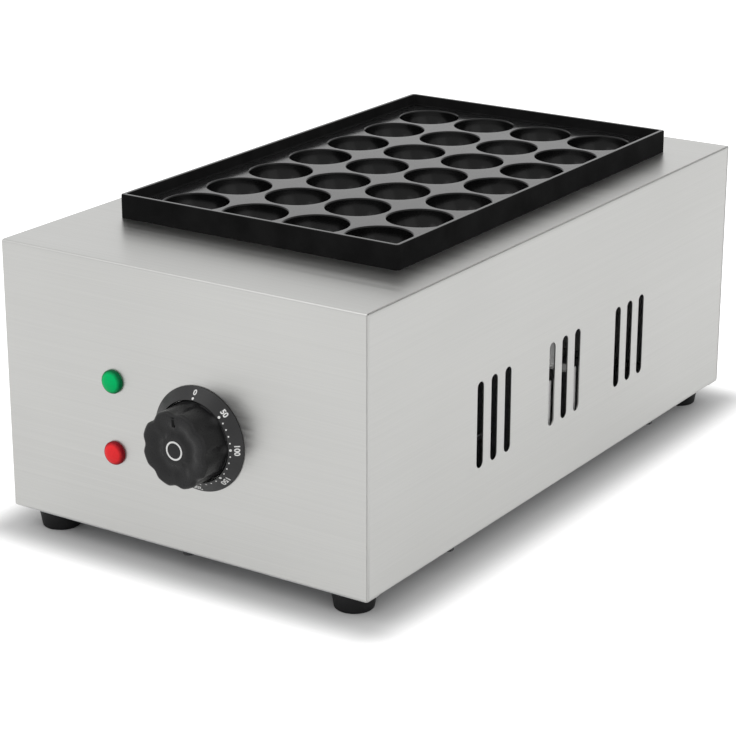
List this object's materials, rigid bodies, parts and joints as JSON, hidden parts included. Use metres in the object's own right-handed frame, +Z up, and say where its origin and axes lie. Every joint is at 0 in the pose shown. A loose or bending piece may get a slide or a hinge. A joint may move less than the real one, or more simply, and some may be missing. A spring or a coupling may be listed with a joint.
{
  "type": "electric takoyaki maker",
  "caption": "Countertop takoyaki maker: a stainless casing on rubber feet with a dark cast mould pan of round cups, a thermostat knob and two signal lamps.",
  "frame": {"origin": "under the middle of the machine, on the surface that its feet stand on", "axes": "+Z up, +Y from the knob at the front to the rear, +X to the right seen from the front"},
  "size_m": [0.245, 0.465, 0.187],
  "materials": {
    "stainless": "fine brushed stainless sheet",
    "zinc_sheet": "plain galvanised sheet",
    "black_coat": "cast plate with a glossy dark non-stick coat",
    "heater_sheath": "dull heat-darkened steel tube",
    "zinc_steel": "zinc-plated steel",
    "ceramic": "unglazed steatite",
    "brass": "plain brass",
    "copper": "drawn copper",
    "rubber": "matt black rubber",
    "wool": "pressed mineral wool",
    "phenolic": "dark moulded phenolic",
    "bezel_black": "satin black disc",
    "knob_black": "satin black moulded plastic",
    "green_lens": "green lens",
    "red_lens": "red lens",
    "nylon_black": "black nylon",
    "block_white": "white nylon"
  },
  "bodies": {
    "body": {"base_plate": "zinc_sheet", "base_screws": "zinc_steel", "capillary": "copper", "casing_wrap": "stainless", "clamp_bar_front": "zinc_sheet", "clamp_bar_middle": "zinc_sheet", "clamp_bar_rear": "zinc_sheet", "clamp_bolts": "zinc_steel", "clip_screws_left": "zinc_steel", "clip_screws_right": "zinc_steel", "control_divider": "zinc_sheet", "dial_bezel": "bezel_black", "earth_nut": "zinc_steel", "earth_stud": "zinc_steel", "element_fittings": "brass", "element_insulators": "ceramic", "element_pins": "zinc_steel", "feet": "rubber", "foot_nuts": "zinc_steel", "foot_studs": "zinc_steel", "gland_body": "nylon_black", "gland_cap": "nylon_black", "gland_nut": "nylon_black", "heat_tray": "zinc_sheet", "heating_element_left": "heater_sheath", "heating_element_right": "heater_sheath", "insulation_pad": "wool", "lamp_green": "green_lens", "lamp_nuts": "nylon_black", "lamp_red": "red_lens", "mould_pan": "black_coat", "pan_clips_left": "zinc_sheet", "pan_clips_right": "zinc_sheet", "sensor_bulb": "copper", "side_panel_left": "stainless", "side_panel_right": "stainless", "terminal_block": "block_white", "terminal_screws": "brass", "thermostat_body": "phenolic", "thermostat_bracket": "zinc_sheet", "thermostat_screws": "zinc_steel", "thermostat_tabs": "brass", "tray_stands_left": "zinc_sheet", "tray_stands_right": "zinc_sheet"},
    "knob": {"knob": "knob_black", "thermostat_shaft": "zinc_steel"}
  },
  "joints": [
    {"name": "knob_turn", "type": "hinge", "parent": "body", "child": "knob", "pos_m": [0.014, -0.2095, 0.083], "axis": [0, 1, 0], "range_deg": [0, 270]}
  ]
}
